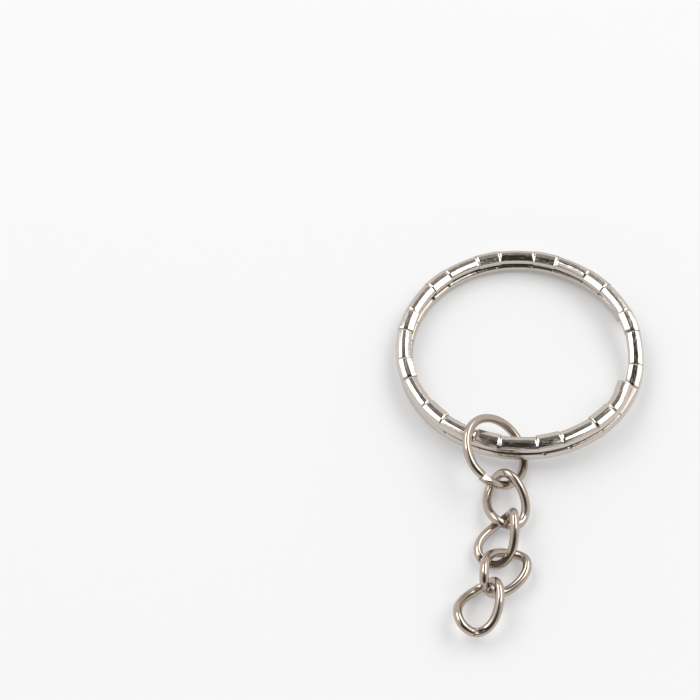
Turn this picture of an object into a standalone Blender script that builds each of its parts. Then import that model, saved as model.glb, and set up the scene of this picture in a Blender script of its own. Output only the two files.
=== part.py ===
"""A split key ring with a short curb chain, as it lies on a table.

Six pieces, all of wire. The split ring is flattened wire with rolled cross notches, wound in a
little under two turns. A round jump ring is threaded on it, and four twisted oval links hang from
that. The split ring turns through the jump ring, and each link swings round the wire before it.
"""

import math
from collections import namedtuple

import bpy
import numpy as np
from mathutils import Euler, Vector

MM = 0.001

# Split ring: the wire's section, and how it is wound
RING_OUTER_RADIUS = 15.2 * MM
RING_WIRE_WIDTH = 2.0 * MM
RING_WIRE_HEIGHT = 1.02 * MM
TURN_GAP = 0.44 * MM
TOP_END_DEG = -28.0
BOTTOM_END_DEG = 19.0
RAMP_START_DEG = 15.0
RAMP_END_DEG = -24.0
TOP_END_TUCK = 0.45 * MM
TOP_END_TUCK_DEG = 14.0
UPPER_TURN_SHIFT = (0.0 * MM, 0.05 * MM)
LOWER_TURN_SHIFT = (0.2 * MM, -0.1 * MM)

# Split ring: the rolled pattern, a short flat and a long round stretch in turn
PATTERN_PITCH_DEG = 29.8
FLAT_DEG = 12.1
FIRST_FLAT_DEG = -45.2
NOTCH_HALF_DEG = 0.9
NOTCH_DEPTH = 0.13 * MM
STRAIGHTENING = 0.25
STATIONS_IN_FLAT = 3
STATIONS_IN_ROUND = 4

# Split ring: the section on a flat and on a round stretch, in mm outward and up from its middle.
# Both go round from the outer foot: outer wall, bevel, crown, inner shoulder, inner wall, sole.
FLAT_SECTION = ((0.98, -0.36), (0.95, -0.02), (0.88, 0.13), (0.66, 0.385), (0.26, 0.51), (-0.42, 0.51),
                (-1.00, 0.325), (-1.08, 0.24), (-1.06, -0.32), (-0.84, -0.51), (0.80, -0.51))
ROUND_SECTION = ((0.96, -0.36), (0.92, -0.05), (0.83, 0.12), (0.56, 0.37), (0.10, 0.51), (-0.22, 0.51),
                 (-0.74, 0.335), (-0.95, 0.12), (-0.96, -0.30), (-0.74, -0.51), (0.78, -0.51))

# Split ring: how it lies, its front lifted by the jump ring's wire
RING_CENTRE_Y = 10.9 * MM
RING_TILT_DEG = (-3.3, -1.5)

# Chain: round wire, one jump ring and four twisted oval links
CHAIN_WIRE = 1.1 * MM
WIRE_CLEARANCE = 0.28 * MM
SEAM_GAP = 0.16 * MM
JUMP_RING_RADIUS = 4.2 * MM
LINK_HALF_LENGTH = 3.3 * MM
LINK_HALF_WIDTH = 2.2 * MM
LINK_SQUARENESS = 2.35
LINK_TWIST_DEG = -40.0
JUMP_RING_POINTS = 40
LINK_POINTS = 36
CURVE_SAMPLES = 720

# Jump ring: its centre from the split ring's centre, its turn, and where its seam is
JUMP_RING_OFFSET = (-4.17 * MM, -14.4 * MM, 2.92 * MM)
JUMP_RING_TURN_DEG = (5.0, 34.0, 0.0)
JUMP_RING_SEAM_DEG = 247.0

# Links: the angles round the loop before and round this one where the two wires bear,
# the link's roll, pitch and heading, and the angle of its seam
Link = namedtuple("Link", "name parent_deg own_deg turn_deg seam_deg")
LINKS = (
    Link("chain_link_1", 290.0, 316.0, (-16.0, -2.0, 99.0), 155.0),
    Link("chain_link_2", 180.0, 27.0, (-35.0, -15.0, 59.0), 162.0),
    Link("chain_link_3", 214.0, 69.0, (16.0, 19.0, 44.0), 188.0),
    Link("end_link", 206.0, -28.0, (-17.0, 4.0, 61.0), 200.0),
)

# A wire loop that the next link can bear on: its curve, and its place and turn
Loop = namedtuple("Loop", "curve place turn")


def clear_scene():
    """Remove every object that the file opened with."""
    for item in list(bpy.data.objects):
        bpy.data.objects.remove(item, do_unlink=True)


def metal(name, colour, roughness):
    """A plated metal as a Principled BSDF material."""
    material = bpy.data.materials.new(name)
    material.use_nodes = True
    shader = material.node_tree.nodes["Principled BSDF"]
    shader.inputs["Base Color"].default_value = (*colour, 1.0)
    shader.inputs["Metallic"].default_value = 1.0
    shader.inputs["Roughness"].default_value = roughness
    return material


def smoothstep(value):
    """0 to 1 with a soft start and end, for values from 0 to 1."""
    value = np.clip(value, 0.0, 1.0)
    return value * value * (3.0 - 2.0 * value)


def ring_stations():
    """Angles along the wire from its top end, clockwise, with the stretch that each lies in.

    Each row is angle, half length of the stretch, angle from its middle, 1 on a flat or 0 on a
    round stretch, and 1 at the bottom of a notch.
    """
    last = BOTTOM_END_DEG - 720.0
    rows = []
    start = FIRST_FLAT_DEG + PATTERN_PITCH_DEG - FLAT_DEG
    is_flat = 0.0
    while start > last:
        length = FLAT_DEG if is_flat else PATTERN_PITCH_DEG - FLAT_DEG
        inner = STATIONS_IN_FLAT if is_flat else STATIONS_IN_ROUND
        middle = start - length / 2.0
        rows.append((start, length / 2.0, length / 2.0, 0.5, 1.0))
        reach = length / 2.0 - NOTCH_HALF_DEG
        for offset in np.linspace(reach, -reach, inner + 2):
            rows.append((middle + offset, length / 2.0, offset, is_flat, 0.0))
        start -= length
        is_flat = 1.0 - is_flat
    rows = np.array(rows)
    inside = (rows[:, 0] < TOP_END_DEG - NOTCH_HALF_DEG) & (rows[:, 0] > last + NOTCH_HALF_DEG)
    ends = np.array([[TOP_END_DEG, 0.0, 0.0, 0.0, 0.0], [last, 0.0, 0.0, 0.0, 0.0]])
    return np.vstack([ends[:1], rows[inside], ends[1:]])


def ring_section(is_flat, in_notch):
    """Radial and axial offsets of one wire section, for whole arrays of stations.

    The outline is the flat one, the round one, or half of each in a notch, which cuts the crown.
    """
    share = is_flat[:, None, None]
    outline = MM * (share * np.array(FLAT_SECTION) + (1.0 - share) * np.array(ROUND_SECTION))
    crown = RING_WIRE_HEIGHT / 2.0 - NOTCH_DEPTH * in_notch[:, None]
    return outline[..., 0], np.minimum(outline[..., 1], crown)


def ring_wire():
    """Points of the whole wire, station by section point, about the ring's own centre."""
    angle, half, offset, is_flat, in_notch = ring_stations().T
    across, along = ring_section(is_flat, in_notch)
    middle_radius = RING_OUTER_RADIUS - RING_WIRE_WIDTH / 2.0
    chord = np.cos(np.radians(half)) / np.cos(np.radians(offset))
    radius = middle_radius * (1.0 + STRAIGHTENING * (chord - 1.0))
    radius -= TOP_END_TUCK * smoothstep(1.0 - (TOP_END_DEG - angle) / TOP_END_TUCK_DEG)
    level = (RING_WIRE_HEIGHT + TURN_GAP) / 2.0
    fall = (RAMP_START_DEG - 360.0 - angle) / (RAMP_START_DEG - RAMP_END_DEG)
    share = smoothstep(fall)[:, None]
    middle = (1.0 - share) * np.array(UPPER_TURN_SHIFT) + share * np.array(LOWER_TURN_SHIFT)
    height = level * (1.0 - 2.0 * share)
    theta = np.radians(angle)[:, None]
    reach = radius[:, None] + across
    aside = middle[:, :1] + reach * np.cos(theta)
    ahead = middle[:, 1:] + reach * np.sin(theta)
    return np.stack([aside, ahead, height + along], axis=-1)


def least_turn_gap(points):
    """The least distance between points of the wire that are half a turn or more apart."""
    half_turn = len(points) * 180.0 / (TOP_END_DEG - BOTTOM_END_DEG + 720.0)
    least = math.inf
    for index in range(len(points) - int(half_turn)):
        beyond = points[index + int(half_turn):].reshape(-1, 3)
        distance = np.linalg.norm(points[index][:, None, :] - beyond[None, :, :], axis=-1)
        least = min(least, float(distance.min()))
    return least


def tube_mesh(name, points):
    """A closed mesh from rows of section points, with a flat face on each end."""
    rows, columns = points.shape[:2]
    grid = np.arange(rows * columns).reshape(rows, columns)
    beside = np.roll(grid, -1, axis=1)
    quads = np.stack([grid[:-1], beside[:-1], beside[1:], grid[1:]], axis=-1).reshape(-1, 4)
    faces = quads.tolist() + [grid[0][::-1].tolist(), grid[-1].tolist()]
    mesh = bpy.data.meshes.new(name)
    mesh.from_pydata(points.reshape(-1, 3).tolist(), [], faces)
    mesh.shade_smooth()
    mesh.set_sharp_from_angle(angle=math.radians(28.0))
    return mesh


def build_split_ring(material):
    """The split ring, lying on its back edge with its front lifted."""
    points = ring_wire()
    print("split_ring least gap between turns, mm:", round(least_turn_gap(points) / MM, 3))
    ring = bpy.data.objects.new("split_ring", tube_mesh("split_ring", points))
    ring.data.materials.append(material)
    tilt_x, tilt_y = (math.radians(value) for value in RING_TILT_DEG)
    ring.rotation_euler = (Euler((tilt_x, 0, 0)).to_matrix() @ Euler((0, tilt_y, 0)).to_matrix()).to_euler()
    turned = np.array(ring.rotation_euler.to_matrix())
    lowest = float((points.reshape(-1, 3) @ turned.T)[:, 2].min())
    ring.location = (0.0, RING_CENTRE_Y, -lowest)
    bpy.context.collection.objects.link(ring)
    return ring


def jump_ring_curve(angle):
    """The jump ring's centreline: a circle."""
    return JUMP_RING_RADIUS * np.stack([np.cos(angle), np.sin(angle), 0.0 * angle], axis=-1)


def link_curve(angle):
    """A link's centreline: a superellipse along X, twisted evenly about X from end to end."""
    power = 2.0 / LINK_SQUARENESS
    along = np.sign(np.cos(angle)) * np.abs(np.cos(angle)) ** power
    across = LINK_HALF_WIDTH * np.sign(np.sin(angle)) * np.abs(np.sin(angle)) ** power
    twist = math.radians(LINK_TWIST_DEG) * along
    return np.stack([LINK_HALF_LENGTH * along, across * np.cos(twist), across * np.sin(twist)], axis=-1)


def point_and_tangent(curve, degrees):
    """A centreline's point at an angle, and its direction there."""
    step = math.radians(0.1)
    before, here, after = curve(math.radians(degrees) + step * np.array([-1.0, 0.0, 1.0]))
    return Vector(here), Vector(after - before).normalized()


def open_loop(curve, seam_deg, count):
    """Evenly spaced points once round a centreline, leaving the seam's gap open."""
    angle = np.linspace(0.0, 2.0 * np.pi, CURVE_SAMPLES + 1) + math.radians(seam_deg)
    path = curve(angle)
    run = np.concatenate([[0.0], np.cumsum(np.linalg.norm(np.diff(path, axis=0), axis=1))])
    stops = np.linspace(SEAM_GAP / 2.0, run[-1] - SEAM_GAP / 2.0, count)
    return np.stack([np.interp(stops, run, path[:, axis]) for axis in range(3)], axis=-1)


def wire_object(name, points, material):
    """Round wire along the points, as a bevelled curve with filled ends."""
    curve = bpy.data.curves.new(name, "CURVE")
    curve.dimensions = "3D"
    curve.bevel_depth = CHAIN_WIRE / 2.0
    curve.bevel_resolution = 3
    curve.use_fill_caps = True
    spline = curve.splines.new("POLY")
    spline.points.add(len(points) - 1)
    for stop, point in zip(spline.points, points):
        stop.co = (*point, 1.0)
    spline.use_smooth = True
    curve.materials.append(material)
    wire = bpy.data.objects.new(name, curve)
    bpy.context.collection.objects.link(wire)
    return wire


def build_jump_ring(material):
    """The jump ring, leaning through the split ring's hole."""
    points = open_loop(jump_ring_curve, JUMP_RING_SEAM_DEG, JUMP_RING_POINTS)
    ring = wire_object("jump_ring", points, material)
    ring.location = Vector(JUMP_RING_OFFSET) + Vector((0.0, RING_CENTRE_Y, 0.0))
    ring.rotation_euler = [math.radians(value) for value in JUMP_RING_TURN_DEG]
    return Loop(jump_ring_curve, ring.location.copy(), ring.rotation_euler.to_matrix())


def build_link(link, parent, material):
    """One link, its wire bearing on the parent's wire, on a pivot at the parent's centreline."""
    turn = Euler([math.radians(value) for value in link.turn_deg]).to_matrix()
    seat, seat_along = point_and_tangent(parent.curve, link.parent_deg)
    pivot_place = parent.turn @ seat + parent.place
    hinge_axis = parent.turn @ seat_along
    bend, bend_along = point_and_tangent(link_curve, link.own_deg)
    apart = hinge_axis.cross(turn @ bend_along).normalized()
    if apart.dot(parent.place - pivot_place) < 0.0:
        apart.negate()
    place = pivot_place + (CHAIN_WIRE + WIRE_CLEARANCE) * apart - turn @ bend
    pivot = bpy.data.objects.new(link.name + "_pivot", None)
    pivot.location = pivot_place
    bpy.context.collection.objects.link(pivot)
    points = open_loop(link_curve, link.seam_deg, LINK_POINTS)
    wire = wire_object(link.name, points, material)
    wire.parent = pivot
    wire.location = place - pivot_place
    wire.rotation_euler = turn.to_euler()
    print(link.name, "hinge at", [round(value, 6) for value in pivot_place],
          "along", [round(value, 5) for value in hinge_axis])
    return Loop(link_curve, place, turn)


def main():
    clear_scene()
    ring_metal = metal("bright_nickel_plate", (0.80, 0.79, 0.77), 0.12)
    chain_metal = metal("warm_nickel_plate", (0.66, 0.62, 0.57), 0.16)
    ring = build_split_ring(ring_metal)
    print("split_ring axis through", [round(value, 6) for value in ring.location],
          "along", [round(value, 5) for value in ring.rotation_euler.to_matrix().col[2]])
    loop = build_jump_ring(chain_metal)
    for link in LINKS:
        loop = build_link(link, loop, chain_metal)


main()
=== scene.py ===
# %% [markdown]
# # A split key ring and its short chain
# The object is a split ring of flattened wire, a round jump ring, and four twisted curb links, all
# plated with nickel. The solids that move and collide come ready in model.glb. This file gives each of
# them a finer surface and a plated finish, and sets them on a pale table with light and a camera.

import math

import bpy
import numpy as np
from mathutils import Matrix, Vector


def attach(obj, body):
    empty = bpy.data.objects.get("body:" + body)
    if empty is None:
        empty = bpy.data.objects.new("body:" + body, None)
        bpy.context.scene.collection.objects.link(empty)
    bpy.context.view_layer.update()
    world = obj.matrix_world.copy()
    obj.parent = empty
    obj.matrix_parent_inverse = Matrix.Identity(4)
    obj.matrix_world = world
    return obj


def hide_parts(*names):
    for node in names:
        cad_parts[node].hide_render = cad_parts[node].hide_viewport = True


MM = 0.001
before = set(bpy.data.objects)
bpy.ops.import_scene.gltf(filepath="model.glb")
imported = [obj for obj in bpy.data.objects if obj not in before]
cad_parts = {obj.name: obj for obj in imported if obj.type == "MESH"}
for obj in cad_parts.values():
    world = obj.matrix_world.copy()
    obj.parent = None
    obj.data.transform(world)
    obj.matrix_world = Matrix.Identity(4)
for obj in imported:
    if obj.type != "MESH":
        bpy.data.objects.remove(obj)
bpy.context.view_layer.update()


def in_mm(length):
    """A length in metres as millimetres, rounded for print."""
    return round(float(length) / MM, 3)


# %% [markdown]
# ## Meshes from grids
# Every piece here is wire, so every piece is one section carried along one path. That is a grid of
# points: rows run along the wire and columns run round it. A curve with a bevel makes wire too, but
# its section stays the same all the way. So a helper turns a grid into a closed mesh instead. It also
# keeps a UV map in millimetres, along and round the wire, so that the finish can draw marks that
# follow the wire, and one number for each point that says how far its colour is darkened: by grime
# at the loops' seams, and by painted shade in the nicks, the ring's slot and where loops touch.


# %% Runs along and round a wire
def wire_uv(points, along):
    """UV pairs for every face corner: the run along the wire and the run round it, in millimetres.

    The run round the wire adds up the steps from point to point in a row.
    """
    rows, columns = points.shape[:2]
    steps = np.linalg.norm(np.roll(points, -1, axis=1) - points, axis=-1)
    around = np.concatenate([np.zeros((rows, 1)), np.cumsum(steps, axis=1)], axis=1) / MM
    run = np.repeat(along[:, None], columns + 1, axis=1) / MM
    uv = np.stack([run, around], axis=-1)
    quads = np.stack([uv[:-1, :-1], uv[:-1, 1:], uv[1:, 1:], uv[1:, :-1]], axis=2)
    ends = np.concatenate([uv[0, :-1][::-1], uv[-1, :-1]])
    return np.concatenate([quads.reshape(-1, 2), ends]).astype(np.float32)


square_bar = np.array([[(0, 0, 0), (1, 0, 0), (1, 1, 0), (0, 1, 0)]] * 2) * MM
print("round a 1 mm square bar, mm:", wire_uv(square_bar, np.zeros(2))[:, 1].max())

# %% A wire piece from a grid of points
SHARP_EDGE_DEG = 40.0


def add_object(name, data):
    """A new object at the origin that shows the data."""
    item = bpy.data.objects.new(name, data)
    bpy.context.collection.objects.link(item)
    return item


def wire_piece(name, points, along, grime_and_shade):
    """A closed tube from points[row, column]: quads between neighbours, and a flat face per end."""
    rows, columns = points.shape[:2]
    grid = np.arange(rows * columns).reshape(rows, columns)
    beside = np.roll(grid, -1, axis=1)
    quads = np.stack([grid[:-1], beside[:-1], beside[1:], grid[1:]], axis=-1).reshape(-1, 4)
    faces = quads.tolist() + [grid[0][::-1].tolist(), grid[-1].tolist()]
    mesh = bpy.data.meshes.new(name)
    mesh.from_pydata(points.reshape(-1, 3).tolist(), [], faces)
    layer = mesh.uv_layers.new(name="wire")
    layer.data.foreach_set("uv", wire_uv(points, along).ravel())
    # The crease value darkens the colour: grime at seams, painted shade in nicks, slot and contacts.
    crease = mesh.attributes.new("crease", "FLOAT", "POINT")
    crease.data.foreach_set("value", np.clip(grime_and_shade, 0.0, 1.0).astype(np.float32).ravel())
    mesh.shade_smooth()
    mesh.set_sharp_from_angle(angle=math.radians(SHARP_EDGE_DEG))
    print(name, "faces:", len(mesh.polygons))
    return add_object(name, mesh)


print("edges stay crisp past, degrees:", SHARP_EDGE_DEG)

# %% [markdown]
# ## The split ring's wire
# The real ring is one wire, rolled flat and crimped before it was wound. The crimps leave short flat
# stretches with bevelled shoulders, and between them longer stretches with a narrow rounded ridge.
# A V-shaped nick crosses the crown wherever one stretch meets the next. An oval swept along a coil
# would be quicker to make. But on polished metal each flat side mirrors one part of the room, and
# that is what draws the crisp dark and white strips. So the section is a bar with nine corners. Its
# sides stay flat between small rounded corners, and they change from stretch to stretch.

# %% Stations along the wire
RING_MIDDLE_RADIUS = 14.2 * MM
TOP_END_DEG = -28.0
BOTTOM_END_DEG = 19.0 - 720.0
PITCH_DEG = 29.8
FLAT_DEG = 12.1
FIRST_FLAT_DEG = -45.2
PITCHES = 26
NICK_HALF = 0.26 * MM
NICK_ROWS = np.array([1.75, 1.4, 1.1, 0.8, 0.5, 0.25, 0.06, 0.0])
PLAIN_ROWS = 16
END_ROW_DEG = 0.08
END_CLEAR_DEG = 0.1


def wire_stations():
    """Angles along the wire, from the top end to the bottom end.

    They are close together at each nick, on both sides at NICK_ROWS times its half width, and even
    between nicks. Each end has one more station just inside it.
    """
    nick_deg = math.degrees(NICK_HALF / RING_MIDDLE_RADIUS)
    starts = FIRST_FLAT_DEG + PITCH_DEG - np.arange(PITCHES)[:, None] * PITCH_DEG
    edges = np.sort((starts - np.array([[0.0, FLAT_DEG]])).ravel())[::-1]
    beside = nick_deg * np.concatenate([NICK_ROWS, -NICK_ROWS[-2::-1]])
    nick_rows = (edges[:, None] + beside).ravel()
    share = np.linspace(0.0, 1.0, PLAIN_ROWS + 2)[1:-1]
    begin = edges[:-1, None] - NICK_ROWS[0] * nick_deg
    finish = edges[1:, None] + NICK_ROWS[0] * nick_deg
    plain_rows = (begin + (finish - begin) * share).ravel()
    rows = np.sort(np.concatenate([nick_rows, plain_rows]))[::-1]
    below_top = rows < TOP_END_DEG - END_CLEAR_DEG
    above_bottom = rows > BOTTOM_END_DEG + END_CLEAR_DEG
    end_rows = np.array([0.0, END_ROW_DEG])
    return np.concatenate(
        [TOP_END_DEG - end_rows, rows[below_top & above_bottom], BOTTOM_END_DEG + end_rows[::-1]])


angles = wire_stations()
print("stations along the ring's wire:", len(angles), "from", angles[0], "to", angles[-1])


# %% Which stretch each station lies on
def stretch_facts(angle):
    """For each station: 1 on a flat, place in its stretch, half length, and run to a nick.

    The place goes from -1 at one nick to 1 at the next. The half length is in degrees.
    """
    phase = (FIRST_FLAT_DEG - angle) % PITCH_DEG
    flat = (phase < FLAT_DEG).astype(float)
    length = np.where(flat > 0.5, FLAT_DEG, PITCH_DEG - FLAT_DEG)
    into = np.where(flat > 0.5, phase, phase - FLAT_DEG)
    place = 2.0 * into / length - 1.0
    to_nick = np.minimum(into, length - into)
    return flat, place, length / 2.0, np.radians(to_nick) * RING_MIDDLE_RADIUS


is_flat, stretch_place, stretch_half, nick_run = stretch_facts(angles)
print("stations on flats:", int(is_flat.sum()), "on ridges:", int((1 - is_flat).sum()))

# %% A many-sided bar with rounded corners
ARC_POINTS = 5


def bar_section(corner, rounding):
    """Outline points of a bar with flat sides and an arc at each corner.

    The middle of each arc is where two sides, moved in by the rounding, cross. The arc swings from
    one side's outward direction to the next one's.
    """
    side = np.roll(corner, -1, axis=1) - corner
    side = side / np.linalg.norm(side, axis=-1, keepdims=True)
    outward = np.stack([side[..., 1], -side[..., 0]], axis=-1)
    before = np.roll(outward, 1, axis=1)
    cosine = (before * outward).sum(axis=-1, keepdims=True)
    inset = corner - rounding[..., None] * (before + outward) / (1.0 + cosine)
    start = np.arctan2(before[..., 1], before[..., 0])
    swing = np.arccos(np.clip(cosine[..., 0], -1.0, 1.0))
    turn = start[..., None] + swing[..., None] * np.linspace(0.0, 1.0, ARC_POINTS)
    spoke = np.stack([np.cos(turn), np.sin(turn)], axis=-1)
    points = inset[:, :, None, :] + rounding[..., None, None] * spoke
    return points.reshape(len(corner), corner.shape[1] * ARC_POINTS, 2)


print("points at each corner of a section:", ARC_POINTS)

# %% The sections of the wire
# Corners, roundings and sags are in mm. Corners go across and up, from the outer foot round: wall,
# bevel, crown, inner shoulder, wall, sole.
FLAT_CORNERS = np.array([
    (0.98, -0.36), (0.90, 0.10), (0.66, 0.435), (0.21, 0.58), (-0.37, 0.58),
    (-1.04, 0.345), (-1.02, -0.36), (-0.84, -0.58), (0.80, -0.58)])
RIDGE_CORNERS = np.array([
    (0.96, -0.36), (0.86, 0.08), (0.60, 0.425), (0.22, 0.58), (-0.30, 0.58),
    (-0.95, 0.280), (-0.94, -0.34), (-0.74, -0.58), (0.78, -0.58)])
LOWER_CORNERS = np.array([
    (0.97, -0.36), (0.92, 0.18), (0.78, 0.46), (0.24, 0.58), (-0.45, 0.58),
    (-0.97, 0.430), (-0.96, -0.34), (-0.76, -0.58), (0.80, -0.58)])
FLAT_ROUNDING = np.array([0.20, 0.25, 0.15, 0.20, 0.20, 0.10, 0.18, 0.15, 0.15])
RIDGE_ROUNDING = np.array([0.20, 0.30, 0.20, 0.50, 0.50, 0.35, 0.20, 0.15, 0.15])
UPPER_CORNERS = slice(2, 6)
FLAT_SAG = 0.01
RIDGE_SAG = 0.03
LOWER_PLAINNESS = 0.8
RAMP_START_DEG = 15.0 - 360.0
RAMP_END_DEG = -24.0 - 360.0


def smooth(value):
    """0 below 0, 1 above 1, and a soft curve between."""
    value = np.clip(value, 0.0, 1.0)
    return value * value * (3.0 - 2.0 * value)


def ramp_share(angle):
    """How far down the ramp each station is: 0 on the upper turn, 1 on the lower turn."""
    return smooth((RAMP_START_DEG - angle) / (RAMP_START_DEG - RAMP_END_DEG))[:, None]


def ring_sections(flat, place, angle):
    """Bar sections for all stations: a flat's or a ridge's corners and roundings.

    A flat has a broad crown and a crisp inner shoulder. A ridge has a narrow crown and soft edges.
    Both sag by the square of the place, towards their nicks. On the lower turn both go most of the
    way to one plainer and fuller section.
    """
    corner = np.where(flat[:, None, None] > 0.5, FLAT_CORNERS, RIDGE_CORNERS)
    rounding = np.where(flat[:, None] > 0.5, FLAT_ROUNDING, RIDGE_ROUNDING)
    sag = np.where(flat > 0.5, FLAT_SAG, RIDGE_SAG) * place ** 2
    corner[:, UPPER_CORNERS, 1] -= sag[:, None]
    plain = LOWER_PLAINNESS * ramp_share(angle)
    corner = corner + plain[..., None] * (LOWER_CORNERS - corner)
    rounding = rounding + plain * (RIDGE_ROUNDING - rounding)
    return bar_section(corner * MM, rounding * MM)


sections = ring_sections(is_flat, stretch_place, angles)
print("points round the section:", sections.shape[1])

# %% [markdown]
# ## Nicks, winding and tilt
# A nick is a V pressed across the crown and down both shoulders. The tool was not quite square to
# the wire, so most nicks are wider at one side and open like a fan. A Boolean could cut them, but it
# leaves untidy faces, so the rows of points near a nick are lowered instead. The wire is then wound:
# it starts at the top end, goes once round on the upper level, comes down a short ramp, and goes
# round again underneath. The finished coil leans a little, as the real one does on the table.

# %% Cut the nicks
WIRE_HEIGHT = 1.16 * MM
NICK_DEPTH = 0.09 * MM
LEAN_TURNS = 6.5
LEAN_START_DEG = 260.0
FAN_MIDDLE = 0.75
FAN_SPREAD = 0.60
FAN_REACH = 0.9 * MM
FAN_RANGE = (0.2, 1.3)
CUT_FADE_START = 0.35
CUT_FADE = 0.4
# Half width of the painted shade along the bottom of each nick.
NICK_SHADE_HALF = 0.07 * MM


def wire_level(section):
    """Height of each section point, from -1 at the sole to 1 at the crown."""
    return section[..., 1] / (WIRE_HEIGHT / 2.0)


def cut_nicks(section, run, angle):
    """Lower the crown and shoulders by a V: deepest at the nick, and run out beside it.

    Each nick leans, wider towards the hole on some and towards the rim on others, by a sine of its
    angle, so its two faces open like a fan. The cut fades out where the shoulders end. The second
    result is painted shade along the bottom of each nick.
    """
    lean = np.sin(np.radians(LEAN_TURNS * angle + LEAN_START_DEG))[:, None]
    fan = np.clip(FAN_MIDDLE - FAN_SPREAD * lean * section[..., 0] / FAN_REACH, *FAN_RANGE)
    share = np.clip(1.0 - run[:, None] / (NICK_HALF * fan), 0.0, 1.0)
    on_crown = smooth((wire_level(section) - CUT_FADE_START) / CUT_FADE)
    cut = section.copy()
    cut[..., 1] -= NICK_DEPTH * fan * share * on_crown
    return cut, on_crown * smooth(1.0 - run[:, None] / NICK_SHADE_HALF)


plain_sections = sections
sections, nick_painted_shade = cut_nicks(plain_sections, nick_run, angles)
print("deepest nick, mm:", in_mm((plain_sections - sections).max()))

# %% Shade the slot between the turns
# Painted shade: the colour darkens in the slot between the turns and on the walls beside it.
SLOT_SHADE = 0.9
SOLE_LEVEL = 0.45
CROWN_LEVEL = 0.55
COVER_START_DEG = TOP_END_DEG - 348.0
COVER_FADE_DEG = 12.0


def slot_painted_shade(section, angle):
    """Painted shade on each point: most in the slot between the turns, and less on the walls beside
    it.

    Both turns darken towards their soles. The lower turn also darkens towards its crown, where the
    upper turn covers it.
    """
    level = wire_level(section)
    covered = smooth((COVER_START_DEG - angle) / COVER_FADE_DEG)[:, None]
    from_below = smooth((-level - SOLE_LEVEL) / (1.0 - SOLE_LEVEL))
    from_above = covered * smooth((level - CROWN_LEVEL) / (1.0 - CROWN_LEVEL))
    return SLOT_SHADE * np.maximum(from_below, from_above)


ring_painted_shade = np.maximum(nick_painted_shade, slot_painted_shade(sections, angles))
# The printed mean is of the painted shade in the nicks and in the slot.
print("mean grime on the ring:", round(float(ring_painted_shade.mean()), 3))

# %% Wind the wire
STACK_HEIGHT = 2.46 * MM
STRAIGHTENING = 0.25
TOP_TUCK = 0.45 * MM
TOP_TUCK_DEG = 14.0
UPPER_TURN_SHIFT = np.array([0.0, 0.05]) * MM
LOWER_TURN_SHIFT = np.array([0.2, -0.1]) * MM


def wind(section, angle, place, half):
    """Carry the sections round: radius and height are functions of the angle along the wire.

    Each stretch is partly straightened towards its chord, and the top end is tucked in a little. The
    lower turn's middle lies a little to one side of the upper turn's.
    """
    chord = np.cos(np.radians(half)) / np.cos(np.radians(half * place))
    radius = RING_MIDDLE_RADIUS * (1.0 + STRAIGHTENING * (chord - 1.0))
    radius = radius - TOP_TUCK * smooth(1.0 - (TOP_END_DEG - angle) / TOP_TUCK_DEG)
    fall = ramp_share(angle)
    middle = (1.0 - fall) * UPPER_TURN_SHIFT + fall * LOWER_TURN_SHIFT
    height = (STACK_HEIGHT - WIRE_HEIGHT) / 2.0 * (1.0 - 2.0 * fall) + section[..., 1]
    theta = np.radians(angle)[:, None]
    reach = radius[:, None] + section[..., 0]
    aside = middle[:, :1] + reach * np.cos(theta)
    ahead = middle[:, 1:] + reach * np.sin(theta)
    return np.stack([aside, ahead, height], axis=-1)


level_coil = wind(sections, angles, stretch_place, stretch_half)
print("coil height, mm:", in_mm(np.ptp(level_coil[..., 2])))

# %% Lean the coil and make the split ring
RING_CENTRE = np.array([0.0, 10.9, 2.171]) * MM
RING_TILT_DEG = (-3.3, -1.5)


def turned(roll, pitch, heading):
    """The rotation that rolls about X, then pitches about Y, then heads about Z, in degrees."""
    spin = [Matrix.Rotation(math.radians(value), 3, axis)
            for value, axis in ((heading, "Z"), (pitch, "Y"), (roll, "X"))]
    return np.array(spin[0] @ spin[1] @ spin[2])


ring_tilt = turned(RING_TILT_DEG[0], 0, 0) @ turned(0, RING_TILT_DEG[1], 0)
ring_points = level_coil @ ring_tilt.T + RING_CENTRE
ring_run = np.radians(angles[0] - angles) * RING_MIDDLE_RADIUS
split_ring = wire_piece("notched_split_ring", ring_points, ring_run, ring_painted_shade)
ring_heights = ring_points[..., 2]
print("ring stands from", in_mm(ring_heights.min()), "to", in_mm(ring_heights.max()), "mm")

# %% [markdown]
# ## The chain's loops
# The jump ring and the links are drawn round wire, bent to shape and closed on a butt seam. The two
# ends of such a seam never meet quite true, and the cutters leave them nipped to a slope. So each
# end is moved a little to one side, clipped along a slope, and rounded at its rim. A curb link is an
# oval that was twisted, so its centreline is an oval whose plane turns as it goes along the link. A
# curve with a bevel would make plain wire, but on a grid the ends can be shaped, and each point can
# tell how near the next loop is, which is where painted shade darkens the wire.

# %% Centrelines and their upright directions
JUMP_RING_RADIUS = 4.2 * MM
LINK_HALF_LENGTH = 3.3 * MM
LINK_HALF_WIDTH = 2.2 * MM
LINK_SQUARENESS = 2.35
LINK_TWIST_DEG = -40.0


def jump_ring_line(angle):
    """A circle, and the direction straight out of its plane."""
    line = JUMP_RING_RADIUS * np.stack([np.cos(angle), np.sin(angle), 0.0 * angle], axis=-1)
    return line, np.broadcast_to([0.0, 0.0, 1.0], line.shape)


def fuller(wave):
    """A sine or cosine raised to a power below 1, with its sign kept."""
    return np.sign(wave) * np.abs(wave) ** (2.0 / LINK_SQUARENESS)


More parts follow.
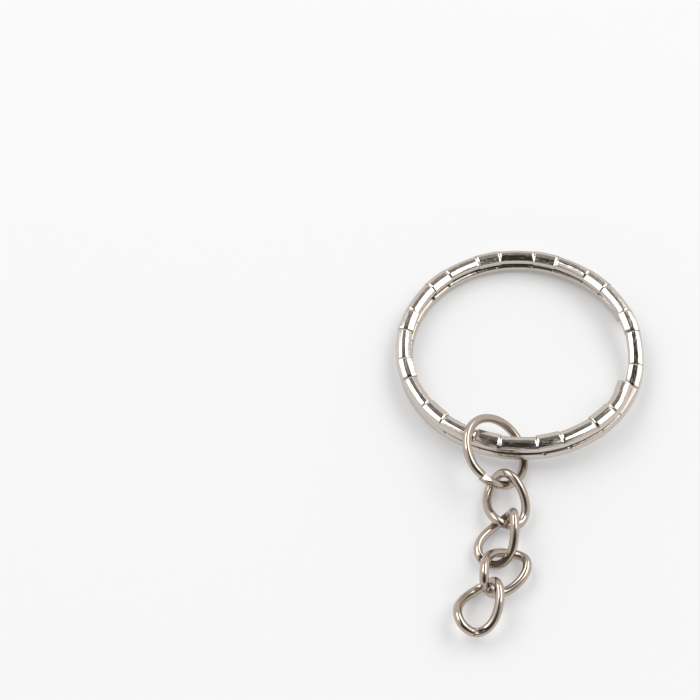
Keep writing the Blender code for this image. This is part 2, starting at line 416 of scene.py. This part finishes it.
def link_line(angle):
    """A superellipse along X, turned about X in step with X, and its plane's own direction."""
    along = fuller(np.cos(angle))
    across = LINK_HALF_WIDTH * fuller(np.sin(angle))
    twist = math.radians(LINK_TWIST_DEG) * along
    line = np.stack(
        [LINK_HALF_LENGTH * along, across * np.cos(twist), across * np.sin(twist)], axis=-1)
    return line, np.stack([0.0 * twist, -np.sin(twist), np.cos(twist)], axis=-1)


print("centrelines, mm: jump ring", in_mm(2 * JUMP_RING_RADIUS), "link", in_mm(2 * LINK_HALF_LENGTH))

# %% Rows along a centreline
LINE_STEPS = 4001
LOOP_ROWS = 220
SEAM_GAP = 0.02 * MM
END_STOPS = np.array([0.0, 0.02, 0.06, 0.12, 0.2, 0.3, 0.4, 0.5, 0.6, 0.7]) * MM
EVEN_START = 0.8 * MM


def sampled(stops, run, values):
    """Each column of values, read at the stops along the run."""
    return np.stack([np.interp(stops, run, column) for column in values.T], axis=-1)


def loop_rows(line_of, seam_deg):
    """Stops once round a centreline from its seam, with the middle, upright and side of each row.

    Stops are even along the run, with extra ones at both ends. The upright direction is made square
    to the line, and the side is square to both.
    """
    angle = np.linspace(0.0, 2.0 * np.pi, LINE_STEPS) + math.radians(seam_deg)
    line, upright = line_of(angle)
    run = np.concatenate([[0.0], np.cumsum(np.linalg.norm(np.diff(line, axis=0), axis=1))])
    length = run[-1] - SEAM_GAP
    even = np.linspace(EVEN_START, length - EVEN_START, LOOP_ROWS)
    stops = np.concatenate([END_STOPS, even, length - END_STOPS[::-1]])
    middle = sampled(stops + SEAM_GAP / 2.0, run, line)
    up = sampled(stops + SEAM_GAP / 2.0, run, upright)
    tangent = np.gradient(middle, stops, axis=0)
    tangent /= np.linalg.norm(tangent, axis=1, keepdims=True)
    up -= (up * tangent).sum(axis=1, keepdims=True) * tangent
    up /= np.linalg.norm(up, axis=1, keepdims=True)
    return stops, middle, up, np.cross(tangent, up)


print("rows along a loop:", LOOP_ROWS + 2 * len(END_STOPS))

# %% A round wire with nipped ends
LOOP_WIRE_RADIUS = 0.525 * MM
LOOP_COLUMNS = 28
SEAM_SHIFT_RUN = 1.6 * MM
RIM_SHARE = 0.12
RIM_RUN = 0.08 * MM
NIP_RUN = 1.0 * MM
SEAM_GRIME = 0.6
SEAM_GRIME_RUN = 0.10 * MM


def fading(run, length):
    """1 at the start of a run, falling evenly to 0 at the given length."""
    return 1.0 - np.clip(run / length, 0.0, 1.0)


def loop_wire(line_of, seam_deg, shift, pinch):
    """Points of a round wire once round a centreline, its run, and the grime at its seam.

    The section is a circle in the plane of the upright and the side. At the seam the two ends are
    shifted opposite ways along the upright, and their rims are rounded. Cutters pinched the ends, so
    near the seam the circle is clipped from above, along a slope that is deepest at the seam.
    """
    stops, middle, up, side = loop_rows(line_of, seam_deg)
    ends = np.stack([stops, stops[-1] - stops])
    aside = smooth(1.0 - ends / SEAM_SHIFT_RUN)
    middle = middle + shift * (aside[0] - aside[1])[:, None] * up
    to_end = ends.min(axis=0)
    radius = LOOP_WIRE_RADIUS * (1.0 - RIM_SHARE * fading(to_end, RIM_RUN) ** 2)
    slope = fading(ends, NIP_RUN)
    ceiling = 1.0 - pinch[0] * slope[0] - pinch[1] * slope[1]
    turn = np.linspace(0.0, 2.0 * np.pi, LOOP_COLUMNS, endpoint=False)
    height = np.minimum(np.sin(turn)[None, :], ceiling[:, None])
    spoke = np.cos(turn)[None, :, None] * side[:, None, :] + height[..., None] * up[:, None, :]
    points = middle[:, None, :] + radius[:, None, None] * spoke
    grime_and_shade = SEAM_GRIME * fading(to_end, SEAM_GRIME_RUN)
    return points, stops, np.repeat(grime_and_shade[:, None], LOOP_COLUMNS, axis=1)


print("chain wire across, mm:", in_mm(2 * LOOP_WIRE_RADIUS))

# %% Place the loops
# Each row has the centreline, its place in mm, its roll, pitch and heading, the seam's place round
# the loop in degrees, the shift of the seam's ends in mm, and how far each end is pinched.
LOOPS = {
    "jump_ring": (
        jump_ring_line, (-4.17, -3.5, 2.92), (5.0, 34.0, 0.0), 240.0, -0.12, (0.6, 0.1)),
    "chain_link_1": (
        link_line, (-3.483, -9.332, 1.701), (-16.0, -2.0, 99.0), 155.0, 0.04, (0.2, 0.1)),
    "chain_link_2": (
        link_line, (-4.533, -14.130, 1.820), (-35.0, -15.0, 59.0), 162.0, -0.05, (0.1, 0.2)),
    "chain_link_3": (
        link_line, (-4.627, -18.256, 1.925), (16.0, 19.0, 44.0), 188.0, 0.04, (0.2, 0.1)),
    "end_link": (
        link_line, (-7.554, -22.417, 1.991), (-17.0, 4.0, 61.0), 196.0, 0.05, (0.3, 0.0)),
}
wires = {}
for node, (line_of, place, turn_deg, seam_deg, shift, pinch) in LOOPS.items():
    local, run, seam_grime = loop_wire(line_of, seam_deg, shift * MM, pinch)
    wires[node] = (local @ turned(*turn_deg).T + np.array(place) * MM, run, seam_grime)
    lowest = wires[node][0][..., 2].min()
    print(node, "wire run", in_mm(run[-1]), "mm, lowest", in_mm(lowest), "mm")

# %% Make the loops
# Painted shade: the colour darkens where one loop's wire comes near another.
CONTACT_SHADE = 0.7
CONTACT_GAP = 0.2 * MM
CONTACT_FADE = 0.45 * MM


def contact_painted_shade(node):
    """Painted shade where loops meet: full up to a small gap, then fading to none as the gap widens.

    The gap is the distance from a point to the nearest middle of another loop's wire, less the
    wire's radius. The square of a distance is the two squares less twice the product.
    """
    points = wires[node][0]
    spots = points.reshape(-1, 3)
    others = np.concatenate([wires[other][0].mean(axis=1) for other in wires if other != node])
    squares = (spots ** 2).sum(axis=1)[:, None] + (others ** 2).sum(axis=1)
    nearest = (squares - 2.0 * spots @ others.T).min(axis=1)
    gap = np.sqrt(nearest).reshape(points.shape[:2]) - LOOP_WIRE_RADIUS
    return CONTACT_SHADE * (1.0 - smooth((gap - CONTACT_GAP) / CONTACT_FADE))


loop_pieces = {}
for node, (points, run, seam_grime) in wires.items():
    grime_and_shade = np.maximum(seam_grime, contact_painted_shade(node))
    loop_pieces[node] = wire_piece("drawn_wire_" + node, points, run, grime_and_shade)

# %% [markdown]
# ## Plated finishes
# Nickel plate mirrors the room with a faint warm tone. It is never perfect: drawing leaves fine lines
# along the wire, and use leaves short scuffs and duller patches. Grime darkens the loops' seams, and
# painted shade darkens the nicks, the slot between the turns and the places where loops touch. A
# picture of worn metal would stretch on bent wire. So the lines and scuffs follow the wire through
# its own UV map, the patches use Object coordinates, and the dark comes from the crease value of
# each point.


# %% Helpers for shader nodes
def add_node(tree, kind, inputs, **settings):
    """A new shader node, with its settings and the fixed values of its inputs."""
    node = tree.nodes.new("ShaderNode" + kind)
    for setting, value in settings.items():
        setattr(node, setting, value)
    for socket, value in inputs.items():
        node.inputs[socket].default_value = value
    return node


def combined(tree, operation, first, second):
    """The output of a Math node that joins two outputs, for example by adding them."""
    node = add_node(tree, "Math", {}, operation=operation)
    tree.links.new(first, node.inputs[0])
    tree.links.new(second, node.inputs[1])
    return node.outputs["Value"]


def ranged(tree, source, start, end, low, high, interpolation="LINEAR"):
    """An output that goes from low to high while the source goes from start to end."""
    limits = {"From Min": start, "From Max": end, "To Min": low, "To Max": high}
    node = add_node(tree, "MapRange", limits, interpolation_type=interpolation)
    tree.links.new(source, node.inputs["Value"])
    return node.outputs["Result"]


def wire_marks(tree, per_mm, detail):
    """Noise that follows the wire, with so many marks per millimetre along it and round it."""
    uv = add_node(tree, "UVMap", {}, uv_map="wire")
    scaled = add_node(tree, "Mapping", {"Scale": (*per_mm, 1.0)})
    marks = add_node(tree, "TexNoise", {"Scale": 1.0, "Detail": detail})
    tree.links.new(uv.outputs["UV"], scaled.inputs["Vector"])
    tree.links.new(scaled.outputs["Vector"], marks.inputs["Vector"])
    return marks.outputs["Fac"]


helpers = (add_node, combined, ranged, wire_marks)
print("shader helpers:", [helper.__name__ for helper in helpers])

# %% A plated metal
LINES_PER_MM = (0.25, 7.0)
LINE_DETAIL = 3.0
SCUFFS_PER_MM = (1.4, 5.5)
SCUFF_DETAIL = 2.0
SCUFF_RANGE = (0.45, 0.70)
PATCHES_PER_M = 700.0
PATCH_DETAIL = 4.0
PATCH_RANGE = (0.3, 0.7)


def nickel(name, bright, dark, low, high, line_height, scuff_height, scuff_dullness):
    """Principled metal: wear sets its roughness and bump, and grime and painted shade darken its
    colour.

    The colour goes from bright to dark with the crease value. Roughness goes from low to high with
    the patches, and scuffs add to it. Lines and scuffs raise the surface by heights in metres.
    """
    material = bpy.data.materials.new(name)
    material.use_nodes = True
    tree = material.node_tree
    shader = tree.nodes["Principled BSDF"]
    shader.inputs["Metallic"].default_value = 1.0
    lines = wire_marks(tree, LINES_PER_MM, LINE_DETAIL)
    scuffs = wire_marks(tree, SCUFFS_PER_MM, SCUFF_DETAIL)
    drawn = add_node(tree, "Bump", {"Strength": 1.0, "Distance": line_height})
    scratched = add_node(tree, "Bump", {"Strength": 1.0, "Distance": scuff_height})
    tree.links.new(lines, drawn.inputs["Height"])
    tree.links.new(scuffs, scratched.inputs["Height"])
    tree.links.new(drawn.outputs["Normal"], scratched.inputs["Normal"])
    tree.links.new(scratched.outputs["Normal"], shader.inputs["Normal"])
    spot = add_node(tree, "TexCoord", {})
    patches = add_node(tree, "TexNoise", {"Scale": PATCHES_PER_M, "Detail": PATCH_DETAIL})
    tree.links.new(spot.outputs["Object"], patches.inputs["Vector"])
    dull = ranged(tree, patches.outputs["Fac"], *PATCH_RANGE, low, high)
    rubbed = ranged(tree, scuffs, *SCUFF_RANGE, 0.0, scuff_dullness)
    tree.links.new(combined(tree, "ADD", dull, rubbed), shader.inputs["Roughness"])
    # The crease value holds grime and painted shade, and mixes the colour towards dark.
    crease = add_node(tree, "Attribute", {}, attribute_name="crease")
    tone = add_node(tree, "Mix", {"A": (*bright, 1.0), "B": (*dark, 1.0)}, data_type="RGBA")
    tree.links.new(crease.outputs["Fac"], tone.inputs["Factor"])
    tree.links.new(tone.outputs["Result"], shader.inputs["Base Color"])
    print(name, "nodes:", len(tree.nodes))
    return material


print("lines and scuffs per mm round the wire:", LINES_PER_MM[1], SCUFFS_PER_MM[1])

# %% Plate the pieces
bright_nickel = nickel(
    "bright_nickel", bright=(0.628, 0.574, 0.524), dark=(0.21, 0.16, 0.12), low=0.06, high=0.14,
    line_height=6.0e-6, scuff_height=1.3e-5, scuff_dullness=0.16)
warm_nickel = nickel(
    "warm_nickel", bright=(0.485, 0.415, 0.352), dark=(0.21, 0.155, 0.115), low=0.08, high=0.15,
    line_height=5.0e-6, scuff_height=4.0e-6, scuff_dullness=0.08)
split_ring.data.materials.append(bright_nickel)
for piece in loop_pieces.values():
    piece.data.materials.append(warm_nickel)
print("pieces plated:", 1 + len(loop_pieces))

# %% [markdown]
# ## Riding on the solids
# On the real object each loop moves by itself, and the ring turns through the jump ring. The pieces
# could be given joints of their own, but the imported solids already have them. So each surface stands
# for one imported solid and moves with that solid's body.

# %% Tie the pieces to their bodies
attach(split_ring, "split_ring")
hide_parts("split_ring")
for node, piece in loop_pieces.items():
    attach(piece, node)
    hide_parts(node)
print("pieces tied:", 1 + len(loop_pieces))

# %% [markdown]
# ## The table
# The real object lies on a bright photo table, where shadows are light. More light would make the
# table as bright, but it would bleach the metal too. So part of the table's white is its own. Only
# the camera and mirrored rays see that part, so the metal mirrors the same table as the camera sees.

# %% Make the table
TABLE_HALF = 1.2
TABLE_OWN_WHITE = 0.3
floor_mesh = bpy.data.meshes.new("table")
floor_corners = [(-1, -1, 0), (1, -1, 0), (1, 1, 0), (-1, 1, 0)]
floor_mesh.from_pydata([TABLE_HALF * Vector(corner) for corner in floor_corners], [], [(0, 1, 2, 3)])
floor = add_object("table", floor_mesh)
board = bpy.data.materials.new("pale_board")
board.use_nodes = True
board_tree = board.node_tree
paper = board_tree.nodes["Principled BSDF"]
paper.inputs["Base Color"].default_value = (0.905, 0.908, 0.915, 1.0)
paper.inputs["Roughness"].default_value = 0.7
paper.inputs["Specular IOR Level"].default_value = 0.1
glow = add_node(board_tree, "Emission", {"Color": (0.91, 0.912, 0.915, 1.0)})
rays = add_node(board_tree, "LightPath", {}).outputs
mirrored = combined(board_tree, "MAXIMUM", rays["Is Glossy Ray"], rays["Is Transmission Ray"])
seen = combined(board_tree, "MAXIMUM", rays["Is Camera Ray"], mirrored)
share = ranged(board_tree, seen, 0.0, 1.0, 0.0, TABLE_OWN_WHITE)
blend = add_node(board_tree, "MixShader", {})
board_tree.links.new(share, blend.inputs["Fac"])
board_tree.links.new(paper.outputs["BSDF"], blend.inputs[1])
board_tree.links.new(glow.outputs["Emission"], blend.inputs[2])
board_tree.links.new(blend.outputs["Shader"], board_tree.nodes["Material Output"].inputs["Surface"])
floor_mesh.materials.append(board)
print("table side, m:", 2 * TABLE_HALF)

# %% [markdown]
# ## The light
# Polished metal looks like whatever surrounds it, so the room is part of the finish. A picture of a
# studio could be wrapped round the scene, but a few panels and steps of brightness are easier to
# change. Two wide white panels hang high at the back, one on each side, with a dark slot overhead
# between them. It is also dark high up behind the camera, and pale all round above the table. The
# crown of the wire, which faces up, mirrors the dark slot. Its shoulders mirror the panels, and its
# walls mirror the pale table.


# %% Two white panels
def white_panel(name, place, width, height, radiance):
    """A flat light that shines at the line where x and z are 0, square to it.

    Its power is its brightness times pi times its area.
    """
    light = bpy.data.lights.new(name, "AREA")
    light.shape = "RECTANGLE"
    light.size = width
    light.size_y = height
    light.energy = radiance * math.pi * width * height
    away = Vector((place[0], 0.0, place[2]))
    lamp = add_object(name, light)
    lamp.location = place
    lamp.rotation_euler = away.to_track_quat("Z", "Y").to_euler()
    print(name, "power, W:", round(light.energy, 2))


white_panel("left_panel", place=(-0.635, 0.70, 1.077), width=1.20, height=0.765, radiance=2.45)
white_panel("right_panel", place=(0.672, 0.525, 1.052), width=1.55, height=0.765, radiance=2.15)

# %% The room
OVERHEAD = (0.0, -0.15, 0.989)
OVERHEAD_RANGE = (0.30, 0.86)
OVERHEAD_DARK = 0.97
SLOT_WIDTH_RANGE = (0.12, 0.40)
BEHIND_CAMERA = (0.0, -0.85, 0.53)
BEHIND_RANGE = (0.45, 0.92)
BEHIND_DARK = 0.93
BEHIND_HEIGHT_RANGE = (0.24, 0.40)
PALE_WALL = (0.88, 0.87, 0.86, 1.0)
DARK_WALL = (0.018, 0.013, 0.010, 1.0)


def toward(tree, look, direction):
    """How much each look direction goes toward the given one: their dot product."""
    node = add_node(tree, "VectorMath", {1: direction}, operation="DOT_PRODUCT")
    tree.links.new(look, node.inputs[0])
    return node.outputs["Value"]


room = bpy.data.worlds.new("dark_ceiling_pale_walls")
bpy.context.scene.world = room
room.use_nodes = True
room_tree = room.node_tree
look = add_node(room_tree, "TexCoord", {}).outputs["Generated"]
split = add_node(room_tree, "SeparateXYZ", {})
room_tree.links.new(look, split.inputs["Vector"])
sideways = add_node(room_tree, "Math", {}, operation="ABSOLUTE")
room_tree.links.new(split.outputs["X"], sideways.inputs[0])
overhead = toward(room_tree, look, OVERHEAD)
above = ranged(room_tree, overhead, *OVERHEAD_RANGE, 0.0, OVERHEAD_DARK, "SMOOTHSTEP")
between = ranged(room_tree, sideways.outputs["Value"], *SLOT_WIDTH_RANGE, 1.0, 0.0, "SMOOTHSTEP")
slot = combined(room_tree, "MULTIPLY", above, between)
behind = toward(room_tree, look, BEHIND_CAMERA)
back = ranged(room_tree, behind, *BEHIND_RANGE, 0.0, BEHIND_DARK, "SMOOTHSTEP")
raised = ranged(room_tree, split.outputs["Z"], *BEHIND_HEIGHT_RANGE, 0.0, 1.0, "SMOOTHSTEP")
high_back = combined(room_tree, "MULTIPLY", back, raised)
walls = add_node(room_tree, "Mix", {"A": PALE_WALL, "B": DARK_WALL}, data_type="RGBA")
room_tree.links.new(combined(room_tree, "MAXIMUM", slot, high_back), walls.inputs["Factor"])
room_tree.links.new(walls.outputs["Result"], room_tree.nodes["Background"].inputs["Color"])
print(room.name, "nodes:", len(room_tree.nodes))

# %% [markdown]
# ## The camera
# The photograph looks steeply down at the table, with a slight roll, through a long lens. A
# constraint could aim the camera at the ring, but it leaves out the roll. So the camera's own right,
# up and forward directions are worked out from the two angles.

# %% Set up the camera
SENSOR_MM = 36.0
PHOTO_FOCAL_PX = 1600.0
PHOTO_WIDTH_PX = 700.0
LENS_MM = SENSOR_MM * PHOTO_FOCAL_PX / PHOTO_WIDTH_PX
CAMERA_PLACE = Vector((-20.71, -93.40, 168.94)) * MM
CAMERA_DOWN_DEG = 57.69
CAMERA_ROLL_DEG = -2.76
NEAREST_SEEN = 0.01
down = math.radians(CAMERA_DOWN_DEG)
roll = math.radians(CAMERA_ROLL_DEG)
plain_right = Vector((1.0, 0.0, 0.0))
plain_down = Vector((0.0, -math.sin(down), -math.cos(down)))
forward = Vector((0.0, math.cos(down), -math.sin(down)))
right = math.cos(roll) * plain_right - math.sin(roll) * plain_down
upward = -(math.sin(roll) * plain_right + math.cos(roll) * plain_down)
camera = add_object("camera", bpy.data.cameras.new("camera"))
camera.data.lens = LENS_MM
camera.data.sensor_width = SENSOR_MM
camera.data.clip_start = NEAREST_SEEN
camera_turn = Matrix((right, upward, -forward)).transposed().to_4x4()
camera.matrix_world = Matrix.Translation(CAMERA_PLACE) @ camera_turn
bpy.context.scene.camera = camera
bpy.context.scene.view_settings.view_transform = "Standard"
print("lens, mm:", round(LENS_MM, 2))
